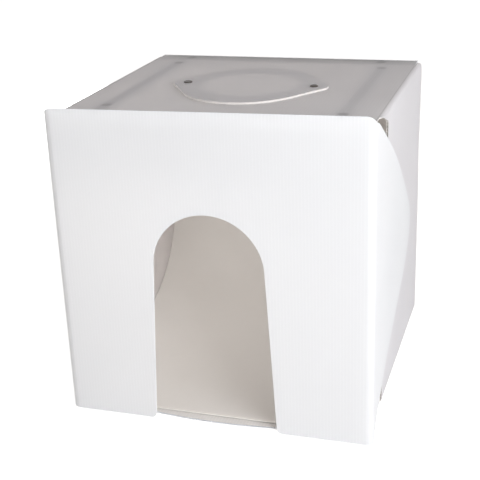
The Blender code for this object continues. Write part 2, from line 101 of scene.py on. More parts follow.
# One wing's free edge from the top of its root to the foot: shares of the reach and of the cover's height
WING_EDGE_SHARES = (
    (0.045, 0.977),
    (0.142, 0.942),
    (0.428, 0.831),
    (0.659, 0.722),
    (0.848, 0.616),
    (0.965, 0.540),
    (1.0, 0.489),
    (0.975, 0.428),
    (0.871, 0.362),
    (0.705, 0.299),
    (0.530, 0.242),
    (0.337, 0.180),
    (0.186, 0.118),
    (0.070, 0.058),
    (0.0, 0.0),
)

# How far the cover's top edge has dropped at shares of the bend into a wing
SHOULDER_DROPS = ((0.0, 0.0), (0.30, 0.0010), (0.65, 0.0048), (0.90, 0.0075))

# A quarter of the hole flap's edge, from its tip to its widest point, in shares of its half length and width
HOLE_FLAP_EDGE_SHARES = (
    (0.988, 0.0),
    (0.988, 0.050),
    (0.965, 0.100),
    (0.820, 0.335),
    (0.640, 0.640),
    (0.450, 0.845),
    (0.230, 0.965),
    (0.0, 1.0),
)

# The sweep's curve from the floor up the back, as the doorway shows it: place along Y and height in metres
SWEEP_CURVE = (
    (-0.110, 0.0000),
    (-0.055, 0.0006),
    (0.000, 0.0075),
    (0.040, 0.0180),
    (0.0704, 0.0292),
    (0.107, 0.0452),
    (0.1265, 0.0572),
    (0.1417, 0.0702),
    (0.1558, 0.0857),
    (0.1671, 0.1020),
    (0.1772, 0.1230),
    (0.1840, 0.1500),
    (0.1868, 0.1850),
    (0.1870, 0.2200),
)

# An outer flap's lean: the height at which it stands plumb, the rise from there to its full lean outwards,
# and the greatest share of the lean that it goes inwards at its foot
LEAN_LEVEL, LEAN_RISE, LEAN_IN = 0.26, 0.11, -0.55

# The floor's bowed front edge: its reach in doorway radii, how far past that it is drawn, and its depth there
BOW_REACH, BOW_SPAN, BOW_DEPTH, BOW_STEPS = 1.3, 1.2, 0.72, 12

# The painted highlight along the backdrop's front edge: where it fades behind the edge, and its level
EDGE_HIGHLIGHT_FADE, EDGE_HIGHLIGHT_LEVEL = (0.003, 0.0055), 1.09

# An LED bar's wall, and the rounding of its channel, its diffuser and its end caps
BAR_WALL, CHANNEL_EDGE, DIFFUSER_EDGE, CAP_EDGE = 0.0012, 0.00035, 0.0004, 0.0009

# A snap: the post's play in its bore, the eased rims of post and washer, and the washer's thickness
SNAP_PLAY, SNAP_EASE, WASHER_THICKNESS = 0.0003, 0.0003, 0.0012

# How brightly the studio's floor shows by itself, and how far it lies below the tent
FLOOR_GLOW, FLOOR_DROP = 0.62, 0.0005

# The camera's place, and its turn, tilt and roll in degrees
CAMERA_PLACE = (0.38276, -1.24968, 0.68536)
CAMERA_TURN = (17.934, 68.761, -2.233)

# Each lamp: its place, the point that it faces, its width and height, and its tint
LAMPS = {
    "key": ((1.3, -1.15, 0.78), (0.0, 0.0, 0.25), 1.0, 0.36, (0.97, 0.98, 1.0)),
    "back": ((-1.1, 1.5, 0.2), (0.0, 0.0, 0.2), 1.2, 0.36, (1.0, 1.0, 1.0)),
    "inner": ((-0.065, -0.03, 0.345), (-0.09, -0.03, 0.0), 0.12, 0.24, (1.0, 0.955, 0.915)),
}

# How each kind of panel stands: where its flat X, its flutes and its outer face point
STANDS = {
    "front": ((1, 0, 0), (0, 0, 1), (0, -1, 0)),
    "back": ((-1, 0, 0), (0, 0, 1), (0, 1, 0)),
    "left": ((0, -1, 0), (0, 0, 1), (-1, 0, 0)),
    "right": ((0, 1, 0), (0, 0, 1), (1, 0, 0)),
    "top": ((1, 0, 0), (0, 1, 0), (0, 0, 1)),
    "top_crosswise": ((0, 1, 0), (-1, 0, 0), (0, 0, 1)),
}


class SheetSettings(bpy.types.PropertyGroup):
    """The fluted sheet that the walls, the lid and the cover are cut from."""

    flute_pitch: FloatProperty(
        name="Flute Pitch", description="From one rib to the next", default=0.004, unit="LENGTH"
    )
    flute_wall: FloatProperty(
        name="Flute Wall", description="Plastic round each open flute", default=0.0003, unit="LENGTH"
    )
    flute_depth: FloatProperty(
        name="Flute Depth", description="How far an open flute is hollow", default=0.003, unit="LENGTH"
    )
    white: FloatVectorProperty(
        name="White", description="Colour of the box's sheet", default=(0.812, 0.812, 0.852), subtype="COLOR"
    )
    cover_white: FloatVectorProperty(
        name="Cover White",
        description="Colour of the cover's sheet",
        default=(0.925, 0.945, 0.975),
        subtype="COLOR",
    )
    through: FloatVectorProperty(
        name="Light Through",
        description="Tint of light in the sheet",
        default=(0.97, 0.95, 0.92),
        subtype="COLOR",
    )
    see_through: FloatProperty(
        name="See Through",
        description="Share of light that passes a box skin",
        default=0.42,
        subtype="FACTOR",
    )
    cover_see_through: FloatProperty(
        name="Cover See Through", description="Share that passes a cover skin", default=0.36, subtype="FACTOR"
    )
    notch_length: FloatProperty(
        name="Notch Length", description="Side wall's front top notch, along", default=0.132, unit="LENGTH"
    )
    notch_depth: FloatProperty(
        name="Notch Depth", description="Side wall's front top notch, down", default=0.034, unit="LENGTH"
    )
    floor_bow: FloatProperty(
        name="Floor Bow",
        description="How far the floor's front edge falls back",
        default=0.010,
        unit="LENGTH",
    )


class CoverSettings(bpy.types.PropertyGroup):
    """The front cover, its doorway and its two wings."""

    seam: FloatProperty(
        name="Seam", description="Where the front meets each wing's sheet", default=0.180, unit="LENGTH"
    )
    left_bend: FloatProperty(
        name="Left Bend", description="Outside of the bend to the left wing", default=0.013, unit="LENGTH"
    )
    right_bend: FloatProperty(
        name="Right Bend", description="Outside of the bend to the right wing", default=0.0085, unit="LENGTH"
    )
    bend_steps: IntProperty(name="Bend Steps", description="Folds in one bend", default=12)
    top_slope: FloatProperty(
        name="Top Slope", description="Rise of the top edge to the right", default=0.0145
    )
    arch_radius: FloatProperty(
        name="Arch Radius", description="Round head of the doorway", default=0.070, unit="LENGTH"
    )
    arch_spring: FloatProperty(
        name="Arch Spring", description="Height of the head's centre", default=0.212, unit="LENGTH"
    )
    arch_foot: FloatProperty(
        name="Arch Foot", description="Half the doorway's width at its foot", default=0.080, unit="LENGTH"
    )
    foot_round: FloatProperty(
        name="Foot Round", description="Rounding of the doorway's feet", default=0.006, unit="LENGTH"
    )


class LidSettings(bpy.types.PropertyGroup):
    """The lid with its outer flaps, and the flap over its camera hole."""

    lip_radius: FloatProperty(
        name="Lip Radius", description="Outside of the fold to a flap", default=0.0045, unit="LENGTH"
    )
    chamfer_length: FloatProperty(
        name="Chamfer Length", description="Sloped front corner, along", default=0.0385, unit="LENGTH"
    )
    chamfer_drop: FloatProperty(
        name="Chamfer Drop", description="Sloped front corner, down", default=0.0113, unit="LENGTH"
    )
    corner_radius: FloatProperty(
        name="Corner Radius", description="Rear top corner of a flap", default=0.019, unit="LENGTH"
    )
    hole_radius: FloatProperty(name="Hole Radius", description="Camera hole", default=0.065, unit="LENGTH")
    snap_reach: FloatProperty(
        name="Snap Reach", description="From the hole's centre to a snap", default=0.085, unit="LENGTH"
    )
    snap_bore: FloatProperty(
        name="Snap Bore", description="Radius of a snap's hole", default=0.0025, unit="LENGTH"
    )
    flap_thickness: FloatProperty(
        name="Hole Flap Thickness", description="Sheet of the hole's flap", default=0.0026, unit="LENGTH"
    )
    flap_lean: FloatProperty(
        name="Flap Lean", description="How far a flap's rear top leans out", default=0.0014, unit="LENGTH"
    )


class BackdropSettings(bpy.types.PropertyGroup):
    """The sweep backdrop."""

    tab_radius: FloatProperty(
        name="Tab Radius", description="Fold of the top tab", default=0.006, unit="LENGTH"
    )
    thickness: FloatProperty(name="Thickness", description="Backdrop sheet", default=0.001, unit="LENGTH")
    side_gap: FloatProperty(
        name="Side Gap", description="From a wall's outer face to the sweep", default=0.0026, unit="LENGTH"
    )
    white: FloatVectorProperty(
        name="White", description="Colour of the backdrop", default=(0.90, 0.88, 0.85), subtype="COLOR"
    )
    through: FloatVectorProperty(
        name="Light Through",
        description="Tint of light in the backdrop",
        default=(0.95, 0.91, 0.86),
        subtype="COLOR",
    )
    see_through: FloatProperty(
        name="See Through", description="Share of light that passes a skin", default=0.20, subtype="FACTOR"
    )


class StageSettings(bpy.types.PropertyGroup):
    """The floor, lamps and camera round the tent."""

    floor_radius: FloatProperty(name="Floor Radius", description="Round floor", default=6.0, unit="LENGTH")
    key_power: FloatProperty(name="Key Power", description="Large lamp at the right front", default=20.5)
    back_power: FloatProperty(name="Back Power", description="Lamp at the left rear", default=8)
    sky: FloatProperty(name="Room Light", description="Even light from all round", default=1.38)
    zenith: FloatProperty(name="Ceiling Light", description="Even light from overhead", default=0.20)
    inner_power: FloatProperty(name="Inner Power", description="Soft light under the lid", default=0.28)
    lens: FloatProperty(name="Lens", description="Focal length in millimetres", default=76.77)


# Nodes


def feed(tree, inputs, values):
    """Gives a node's inputs their values; a value that is a socket is linked."""
    for name, value in values.items():
        if isinstance(value, bpy.types.NodeSocket):
            tree.links.new(value, inputs[name])
        else:
            inputs[name].default_value = value


def add(tree, kind, values=None, **settings):
    """A node with its settings and input values."""
    made = tree.nodes.new(kind)
    for name, value in settings.items():
        setattr(made, name, value)
    feed(tree, made.inputs, values or {})
    return made


def maths(tree, operation, a, b=0.0):
    """The output of one Math node."""
    return add(tree, "ShaderNodeMath", {0: a, 1: b}, operation=operation).outputs[0]


def plus(tree, a, b):
    """Two values added."""
    return maths(tree, "ADD", a, b)


def times(tree, a, b):
    """Two values multiplied."""
    return maths(tree, "MULTIPLY", a, b)


def apart(tree, a, b):
    """How far two values lie apart."""
    return maths(tree, "ABSOLUTE", maths(tree, "SUBTRACT", a, b))


def axes(tree, vector):
    """A vector's X, Y and Z."""
    return add(tree, "ShaderNodeSeparateXYZ", {"Vector": vector}).outputs


def ramp(tree, value, start, end, low=0.0, high=1.0):
    """A smooth step from low to high as the value goes from start to end."""
    made = add(
        tree,
        "ShaderNodeMapRange",
        {"Value": value, "From Min": start, "From Max": end, "To Min": low, "To Max": high},
        interpolation_type="SMOOTHSTEP",
    )
    return made.outputs["Result"]


def fall(tree, value, start, end):
    """A smooth step from one down to nothing."""
    return ramp(tree, value, start, end, 1.0, 0.0)


def blend_colours(tree, share, a, b):
    """The output of one colour Mix node."""
    return add(tree, "ShaderNodeMix", {0: share, 6: a, 7: b}, data_type="RGBA", blend_type="MIX").outputs[2]


def noise(tree, position, scale, detail):
    """The value of one Noise Texture node."""
    made = add(tree, "ShaderNodeTexNoise", {"Vector": position, "Scale": scale, "Detail": detail})
    return made.outputs["Fac"]


def group(name, inputs, outputs, build):
    """A shader node group with named inputs and value outputs, built once."""
    found = bpy.data.node_groups.get(name)
    if found:
        return found
    tree = bpy.data.node_groups.new(name, "ShaderNodeTree")
    for word, kind, value in inputs:
        socket = tree.interface.new_socket(word, in_out="INPUT", socket_type=kind)
        if value is not None:
            socket.default_value = value
    for word in outputs:
        tree.interface.new_socket(word, in_out="OUTPUT", socket_type="NodeSocketFloat")
    given = tree.nodes.new("NodeGroupInput").outputs
    wanted = tree.nodes.new("NodeGroupOutput").inputs
    feed(tree, wanted, build(tree, given))
    return tree


def use(tree, made, values):
    """The outputs of a node group that is placed in a material with its own values."""
    placed = tree.nodes.new("ShaderNodeGroup")
    placed.node_tree = made
    feed(tree, placed.inputs, values)
    return placed.outputs


def flute_group():
    """Rib lines across a fluted sheet, and the slight swell of its skin between them."""

    def build(tree, given):
        turn = maths(tree, "DIVIDE", given["Across"], given["Pitch"])
        away = maths(tree, "PINGPONG", turn, 0.5)
        rib = ramp(tree, away, 0.0, given["Rib Share"], 1.0, 0.0)
        return {"Rib": rib, "Swell": ramp(tree, away, 0.0, 0.5)}

    inputs = (
        ("Across", "NodeSocketFloat", 0.0),
        ("Pitch", "NodeSocketFloat", 0.004),
        ("Rib Share", "NodeSocketFloat", 0.2),
    )
    return group("Flute Ribs", inputs, ("Rib", "Swell"), build)


def handling_group():
    """What handling leaves: cloudy patches, and fine scuffs in one direction."""

    def build(tree, given):
        cloud = noise(tree, given["Position"], given["Cloud Scale"], 3.0)
        slanted = {"Vector": given["Position"], "Scale": (1.0, 1.0, 0.12), "Rotation": (0.4, 0.7, 0.2)}
        drawn = add(tree, "ShaderNodeMapping", slanted)
        streak = noise(tree, drawn.outputs["Vector"], given["Scuff Scale"], 4.0)
        return {"Cloud": ramp(tree, cloud, 0.35, 0.65), "Scuff": ramp(tree, streak, 0.62, 0.74)}

    inputs = (
        ("Position", "NodeSocketVector", None),
        ("Cloud Scale", "NodeSocketFloat", 9.0),
        ("Scuff Scale", "NodeSocketFloat", 260.0),
    )
    return group("Handling", inputs, ("Cloud", "Scuff"), build)


def grain_group():
    """The fine grain of a moulded or calendered surface, and its slow drift from place to place."""

    def build(tree, given):
        fine = noise(tree, given["Position"], given["Scale"], 3.0)
        wide = noise(tree, given["Position"], times(tree, given["Scale"], 0.13), 2.0)
        return {"Grain": fine, "Drift": ramp(tree, wide, 0.3, 0.7)}

    inputs = (("Position", "NodeSocketVector", None), ("Scale", "NodeSocketFloat", 900.0))
    return group("Fine Grain", inputs, ("Grain", "Drift"), build)


def crease_group():
    """A pressed fold line on either side of the sheet's middle, which masks its groove and the painted shade in
    it.
    """

    def build(tree, given):
        away = apart(tree, maths(tree, "ABSOLUTE", given["Across"]), given["Crease"])
        return {"Line": ramp(tree, away, given["Width"], 0.0)}

    inputs = (
        ("Across", "NodeSocketFloat", 0.0),
        ("Crease", "NodeSocketFloat", 0.19),
        ("Width", "NodeSocketFloat", 0.0012),
    )
    return group("Crease Line", inputs, ("Line",), build)


def grain_at(tree, place, scale):
    """The fine grain, at a finish's own scale."""
    return use(tree, grain_group(), {"Position": place, "Scale": scale})


def marks_at(tree, place, cloud, scuff):
    """What handling leaves, at a finish's own scales."""
    return use(tree, handling_group(), {"Position": place, "Cloud Scale": cloud, "Scuff Scale": scuff})


# Materials


def rgba(tint, level=1.0):
    """A colour at a share of its brightness, as a colour socket takes it."""
    return (*(Vector(tint) * level), 1.0)


def blank(name):
    """A new material, its tree, its Principled shader and its Object coordinates."""
    made = bpy.data.materials.new(name)
    made.use_nodes = True
    tree = made.node_tree
    shader = tree.nodes["Principled BSDF"]
    place = tree.nodes.new("ShaderNodeTexCoord").outputs["Object"]
    return made, tree, shader, place


def surface(tree, shader, colour, gloss, height, depth, strength):
    """Feeds the shader its colour and its roughness, and a height through a Bump node."""
    bump = add(tree, "ShaderNodeBump", {"Height": height, "Distance": depth, "Strength": strength})
    feed(tree, shader.inputs, {"Base Color": colour, "Roughness": gloss, "Normal": bump.outputs["Normal"]})


def let_through(tree, shader, tint, share):
    """Mixes the shader with the light that comes through from behind."""
    behind = add(tree, "ShaderNodeBsdfTranslucent", {"Color": rgba(tint)})
    both = add(tree, "ShaderNodeMixShader", {0: share, 1: shader.outputs[0], 2: behind.outputs[0]})
    tree.links.new(both.outputs[0], tree.nodes["Material Output"].inputs["Surface"])


def sheet_finish(name, tint, share, rib_share=RIB_SHARE, rib_shade=RIB_SHADE, crease=None, shade=None):
    """Fluted sheet: satin white skins over fine ribs, a pressed crease with painted shade in it, and painted
    shade of what lies behind it.
    """
    settings = bpy.context.scene.tent_sheet
    made, tree, shader, place = blank(name)
    along = add(tree, "ShaderNodeUVMap", uv_map=SHEET_MAP)
    across = axes(tree, along.outputs["UV"])["X"]
    pattern = {"Across": across, "Pitch": settings.flute_pitch, "Rib Share": rib_share}
    flutes = use(tree, flute_group(), pattern)
    marks = marks_at(tree, place, cloud=9.0, scuff=260.0)
    grain = grain_at(tree, place, scale=1400.0)
    colour = blend_colours(tree, flutes["Rib"], rgba(tint, rib_shade), rgba(tint))
    colour = blend_colours(tree, times(tree, marks["Cloud"], 0.035), colour, rgba(tint, 0.8))
    height = plus(tree, flutes["Swell"], times(tree, grain["Grain"], 0.25))
    if crease:
        line = use(tree, crease_group(), {"Across": across, "Crease": crease})["Line"]
        # Painted shade in the crease: the sheet darker along its line
        colour = blend_colours(tree, times(tree, line, 0.55), colour, rgba(tint, 0.35))
        height = maths(tree, "SUBTRACT", height, times(tree, line, 4.0))
    if shade:
        # Painted shade of what lies behind the sheet
        colour = blend_colours(tree, shade(tree, place), colour, rgba(tint, 0.45))
    gloss = ramp(tree, marks["Cloud"], 0.0, 1.0, 0.47, 0.56)
    gloss = plus(tree, gloss, times(tree, marks["Scuff"], 0.12))
    surface(tree, shader, colour, gloss, height, depth=0.00008, strength=0.35)
    let_through(tree, shader, settings.through, share)
    return made


def box_skin(name="sheet_skin", **extras):
    """The box's sheet, which lets more light through than the cover's."""
    settings = bpy.context.scene.tent_sheet
    return sheet_finish(name, settings.white, settings.see_through, **extras)


def painted_disc_shade(tree, place, *discs):
    """Painted shade: soft dark marks on either side of the middle, where discs touch the sheet from below."""
    places = axes(tree, place)
    out = maths(tree, "ABSOLUTE", places["X"])
    dark = 0.0
    for node in discs:
        low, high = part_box(node)
        centre, radius = (low + high) / 2, (high.x - low.x) / 2
        from_x = maths(tree, "POWER", maths(tree, "SUBTRACT", out, abs(centre.x)), 2.0)
        from_y = maths(tree, "POWER", maths(tree, "SUBTRACT", places["Y"], centre.y), 2.0)
        away = maths(tree, "SQRT", plus(tree, from_x, from_y))
        dark = plus(tree, dark, ramp(tree, away, radius * 0.45, radius * 1.15, DISC_SHADE, 0.0))
    return places, out, dark


def lid_skin():
    """The lid's sheet, creased where its flaps fold down, with painted shade over the bars and their plates."""
    low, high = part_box("right_bar_channel")

    def shade(tree, place):
        places, out, dark = painted_disc_shade(tree, place, "right_front_bar_plate", "right_rear_bar_plate")
        off = apart(tree, out, (low.x + high.x) / 2)
        start = ramp(tree, places["Y"], low.y - FADE_OUT, low.y + FADE_IN)
        end = fall(tree, places["Y"], high.y - FADE_IN, high.y + FADE_OUT)
        # Painted shadow of the bar along its length, fading at its ends and to its sides
        painted_bar_shadow = times(tree, times(tree, start, end), ramp(tree, off, *FADE_SIDES, BAR_SHADE, 0.0))
        return plus(tree, dark, painted_bar_shadow)

    return box_skin("lid_skin", crease=BACK_HIGH.x, shade=shade)


def strip_skin():
    """The rear strip's sheet, with painted shade darker towards the back and weaker near its ends, and over its
    plate.
    """
    low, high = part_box("rear_strip")

    def shade(tree, place):
        places, out, dark = painted_disc_shade(tree, place, "right_strip_plate")
        # Painted shade, darker towards the back
        back = ramp(tree, places["Y"], low.y - 0.01, high.y, *STRIP_REAR_SHADE)
        ends = ramp(tree, out, high.x - 0.035, high.x, 1.0, 0.35)
        return plus(tree, times(tree, back, ends), dark)

    return box_skin("strip_skin", shade=shade)


def side_skin():
    """The side walls' sheet, which an outer flap covers, so that little light comes through; its colour is
    painted paler and warmer than the box's sheet, as painted light on the inner wall.
    """
    return sheet_finish("side_skin", (0.94, 0.905, 0.90), 0.14)


def floor_skin():
    """The floor's sheet, which lies on the table and lets little light through."""
    return sheet_finish("floor_skin", (0.91, 0.895, 0.875), 0.12, rib_shade=0.95)


def cover_skin():
    """The cover's whiter sheet."""
    settings = bpy.context.scene.tent_sheet
    return sheet_finish("cover_skin", settings.cover_white, settings.cover_see_through, 0.22, 0.955)


def cut_edge(name, tint):
    """A sheet's cut edges: the same plastic in a tint of their own, rougher where the blade went; a darker tint
    is painted shade.
    """
    settings = bpy.context.scene.tent_sheet
    made, tree, shader, place = blank(name)
    grain = grain_at(tree, place, scale=2600.0)
    colour = blend_colours(tree, grain["Drift"], rgba(tint, 0.97), rgba(tint, 1.03))
    gloss = ramp(tree, grain["Grain"], 0.3, 0.7, 0.55, 0.75)
    surface(tree, shader, colour, gloss, grain["Grain"], depth=0.0001, strength=0.5)
    let_through(tree, shader, settings.through, settings.cover_see_through / 5)
    return made


def backdrop_white():
    """The sweep: a thin matte sheet with a fine calendered grain and a painted highlight along its front edge.
    """
    settings = bpy.context.scene.tent_backdrop
    made, tree, shader, place = blank("backdrop_matte")
    grain = grain_at(tree, place, scale=1100.0)
    marks = marks_at(tree, place, cloud=6.0, scuff=180.0)
    white = settings.white
    colour = blend_colours(tree, times(tree, marks["Cloud"], 0.3), rgba(white), rgba(white, 0.965))
    colour = blend_colours(tree, times(tree, marks["Scuff"], 0.12), colour, rgba(white, 0.9))
    start, end = EDGE_HIGHLIGHT_FADE
    # Painted highlight along the front edge
    rim = fall(tree, axes(tree, place)["Y"], SWEEP_LOW.y + start, SWEEP_LOW.y + end)
    colour = blend_colours(tree, rim, colour, rgba(white, EDGE_HIGHLIGHT_LEVEL))
    gloss = ramp(tree, grain["Drift"], 0.0, 1.0, 0.56, 0.66)
    surface(tree, shader, colour, gloss, grain["Grain"], depth=0.00006, strength=0.4)
    let_through(tree, shader, settings.through, settings.see_through)
    return made


def plated(name, tint, dark):
    """A plated steel or magnet disc: faint lapping marks and dull spots."""
    made, tree, shader, place = blank(name)
    grain = grain_at(tree, place, scale=700.0)
    marks = marks_at(tree, place, cloud=120.0, scuff=900.0)
    colour = blend_colours(tree, times(tree, marks["Cloud"], 0.5), rgba(tint), rgba(dark))
    gloss = ramp(tree, grain["Drift"], 0.0, 1.0, 0.22, 0.38)
    gloss = plus(tree, gloss, times(tree, marks["Scuff"], 0.2))
    shader.inputs["Metallic"].default_value = 1.0
    surface(tree, shader, colour, gloss, grain["Grain"], depth=0.00003, strength=0.3)
    return made


def brushed_bar():
    """Satin aluminium, drawn along the bar."""
    made, tree, shader, place = blank("bar_satin_aluminium")
    drawn = add(tree, "ShaderNodeMapping", {"Vector": place, "Scale": (1.0, 0.02, 1.0)})
    lines = noise(tree, drawn.outputs["Vector"], 2600.0, 3.0)
    marks = marks_at(tree, place, cloud=40.0, scuff=500.0)
    bright = ramp(tree, lines, 0.3, 0.7)
    colour = blend_colours(tree, bright, (0.70, 0.70, 0.71, 1.0), (0.82, 0.82, 0.83, 1.0))
    gloss = ramp(tree, marks["Cloud"], 0.0, 1.0, 0.30, 0.42)
    shader.inputs["Metallic"].default_value = 1.0
    surface(tree, shader, colour, gloss, lines, depth=0.00003, strength=0.4)
    return made


def led_board():
    """White solder mask with yellow phosphor in the middle of each chip, and a solder pad at each end."""
    made, tree, shader, place = blank("led_board_white")
    places = axes(tree, place)
    low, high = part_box("right_bar_led_board")
    turn = maths(tree, "SUBTRACT", places["Y"], low.y)
    turn = maths(tree, "DIVIDE", turn, (high.y - low.y) / LED_CHIPS)
    along = maths(tree, "PINGPONG", plus(tree, turn, 0.5), 0.5)
    off = apart(tree, maths(tree, "ABSOLUTE", places["X"]), (low.x + high.x) / 2)
    window = times(tree, fall(tree, along, 0.09, 0.11), fall(tree, off, 0.0009, 0.0011))
    pads = times(tree, ramp(tree, along, 0.22, 0.24), fall(tree, along, 0.28, 0.30))
    pads = times(tree, pads, fall(tree, off, 0.0018, 0.0020))
    grain = grain_at(tree, place, scale=1600.0)
    colour = blend_colours(tree, pads, (0.86, 0.87, 0.85, 1.0), (0.62, 0.60, 0.55, 1.0))
    colour = blend_colours(tree, window, colour, (0.88, 0.74, 0.22, 1.0))
    gloss = ramp(tree, grain["Drift"], 0.0, 1.0, 0.35, 0.50)
    surface(tree, shader, colour, gloss, grain["Grain"], depth=0.00002, strength=0.3)
    return made


def opal():
    """The bars' opal diffuser."""
    made, tree, shader, place = blank("diffuser_opal")
    grain = grain_at(tree, place, scale=1300.0)
    colour = blend_colours(tree, grain["Drift"], (0.90, 0.90, 0.88, 1.0), (0.94, 0.94, 0.92, 1.0))
    gloss = ramp(tree, grain["Drift"], 0.0, 1.0, 0.26, 0.36)
    surface(tree, shader, colour, gloss, grain["Grain"], depth=0.00003, strength=0.25)
    let_through(tree, shader, (0.95, 0.95, 0.93), 0.35)
    return made


def moulded(name, tint, shine):
    """Moulded plastic: spark-eroded grain, rubbed smoother in patches."""
    made, tree, shader, place = blank(name)
    grain = grain_at(tree, place, scale=2200.0)
    marks = marks_at(tree, place, cloud=150.0, scuff=1200.0)
    colour = blend_colours(tree, grain["Drift"], rgba(tint, 0.9), rgba(tint, 1.15))
    colour = blend_colours(tree, times(tree, marks["Scuff"], 0.15), colour, rgba(tint, 2.2))
    gloss = ramp(tree, marks["Cloud"], 0.0, 1.0, shine, shine + 0.14)
    surface(tree, shader, colour, gloss, grain["Grain"], depth=0.00008, strength=0.5)
    return made


def studio_floor():
    """The pale floor: it shows as white, and takes the tent's shadow."""
    made, tree, shader, place = blank("studio_floor")
    grain = grain_at(tree, place, scale=40.0)
    colour = blend_colours(tree, grain["Drift"], (0.90, 0.90, 0.90, 1.0), (0.92, 0.92, 0.92, 1.0))
    feed(tree, shader.inputs, {"Base Color": colour, "Roughness": 0.9, "Specular IOR Level": 0.1})
    rays = tree.nodes.new("ShaderNodeLightPath").outputs
    seen = maths(tree, "MAXIMUM", rays["Is Camera Ray"], rays["Is Glossy Ray"])
    glow = add(tree, "ShaderNodeEmission", {"Color": WHITE, "Strength": times(tree, seen, FLOOR_GLOW)})
    both = add(tree, "ShaderNodeAddShader", {0: shader.outputs[0], 1: glow.outputs[0]})
    tree.links.new(both.outputs[0], tree.nodes["Material Output"].inputs["Surface"])
    return made


FINISHES = {
    "sheet_skin": box_skin,
    "lid_skin": lid_skin,
    "strip_skin": strip_skin,
    "side_skin": side_skin,
    "floor_skin": floor_skin,
    "cover_skin": cover_skin,
    "cut_edge": lambda: cut_edge("cut_edge", (0.925, 0.945, 0.975)),
    # Painted shade: the lid's and hole flap's cut edges in a darker tint than the cover's
    "lid_edge": lambda: cut_edge("lid_edge", (0.78, 0.755, 0.73)),
    "backdrop_matte": backdrop_white,
    "magnet_nickel": lambda: plated("magnet_nickel", (0.46, 0.45, 0.44), (0.34, 0.33, 0.32)),
    "plate_zinc": lambda: plated("plate_zinc", (0.20, 0.20, 0.21), (0.12, 0.12, 0.125)),
    "bar_satin_aluminium": brushed_bar,
    "led_board_white": led_board,
    "diffuser_opal": opal,
    "cap_grey": lambda: moulded("cap_grey", (0.055, 0.055, 0.058), 0.42),
    "snap_brown": lambda: moulded("snap_brown", (0.050, 0.040, 0.034), 0.32),
    "studio_floor": studio_floor,
}


def finish(name):
    """A material by name, made the first time that it is asked for."""
    return bpy.data.materials.get(name) or FINISHES[name]()


# Shapes


def finished(name, bm, finishes):
    """A linked object from a bmesh that is already in its place."""
    mesh = bpy.data.meshes.new(name)
    bm.to_mesh(mesh)
    bm.free()
    mesh.shade_smooth()
    mesh.set_sharp_from_angle(angle=SMOOTH_ANGLE)
    for word in finishes:
        mesh.materials.append(finish(word))
    made = bpy.data.objects.new(name, mesh)
    bpy.context.scene.collection.objects.link(made)
    return made


def arc(centre, radius, start, end, steps):
    """Points along an arc, both ends included."""
    turn = [start + (end - start) * n / steps for n in range(steps + 1)]
    return [(centre[0] + radius * math.cos(a), centre[1] + radius * math.sin(a)) for a in turn]


def smooth_line(points, steps):
    """A Catmull-Rom curve through the points, both ends included."""
    padded = [points[0], *points, points[-1]]
    line = []
    for a, b, c, d in zip(padded, padded[1:], padded[2:], padded[3:]):
        for n in range(steps):
            t = n / steps
            line.append(
                tuple(
                    b[k]
                    + t * (c[k] - a[k]) / 2
                    + t**2 * (a[k] - 5 * b[k] / 2 + 2 * c[k] - d[k] / 2)
                    + t**3 * (3 * b[k] - a[k] - 3 * c[k] + d[k]) / 2
                    for k in range(2)
                )
            )
    return [*line, points[-1]]


def mirrored(points):
    """The same points on the other side, in reverse order."""
    return [(-x, y) for x, y in reversed(points)]


def loop(bm, points):
    """A closed line of edges through points on the flat sheet."""
    corners = [bm.verts.new((*point, 0.0)) for point in points]
    for pair in zip(corners, [*corners[1:], corners[0]]):
        bm.edges.new(pair)


def flat_sheet(outline, rings=()):
    """A flat cut of sheet with round holes, its flutes along Y and its places kept in its UV map."""
    bm = bmesh.new()
    loop(bm, outline)
    for centre, radius, steps in rings:
        place = Matrix.Translation((*centre, 0.0))
        bmesh.ops.create_circle(bm, segments=steps, radius=radius, matrix=place)
    bmesh.ops.remove_doubles(bm, verts=bm.verts, dist=TINY)
    if rings:
        bmesh.ops.triangle_fill(bm, edges=bm.edges, use_beauty=True, normal=(0.0, 0.0, 1.0))
    else:
        bmesh.ops.contextual_create(bm, geom=bm.edges[:])
    bm.normal_update()
    bmesh.ops.reverse_faces(bm, faces=[face for face in bm.faces if face.normal.z < 0])
    layer = bm.loops.layers.uv.new(SHEET_MAP)
    for face in bm.faces:
        for corner in face.loops:
            corner[layer].uv = corner.vert.co.xy
    return bm


def score(bm, x):
    """Cuts every face along one line across X."""
    geom = [*bm.verts, *bm.edges, *bm.faces]
    bmesh.ops.bisect_plane(bm, geom=geom, dist=TINY, plane_co=(x, 0.0, 0.0), plane_no=(1.0, 0.0, 0.0))


def score_flutes(bm):
    """Cuts the flat sheet along every rib."""
    pitch = bpy.context.scene.tent_sheet.flute_pitch
    low = min(vert.co.x for vert in bm.verts)
    high = max(vert.co.x for vert in bm.verts)
    for n in range(math.ceil((low + TINY) / pitch), math.floor((high - TINY) / pitch) + 1):
        score(bm, n * pitch)


def fold(bm, crease, side, radius, steps):
    """Bends the sheet a quarter turn down beyond a crease; the radius is its outer face's."""
    step = radius * QUARTER / steps
    lines = [crease + side * step * (n + 0.5) for n in range(steps)]
    for x in lines:
        score(bm, x)
    turn = Matrix.Rotation(side * QUARTER / steps, 3, "Y")
    for x in reversed(lines):
        beyond = [vert for vert in bm.verts if side * (vert.co.x - x) > TINY]
        bmesh.ops.rotate(bm, verts=beyond, cent=(x, 0.0, 0.0), matrix=turn)


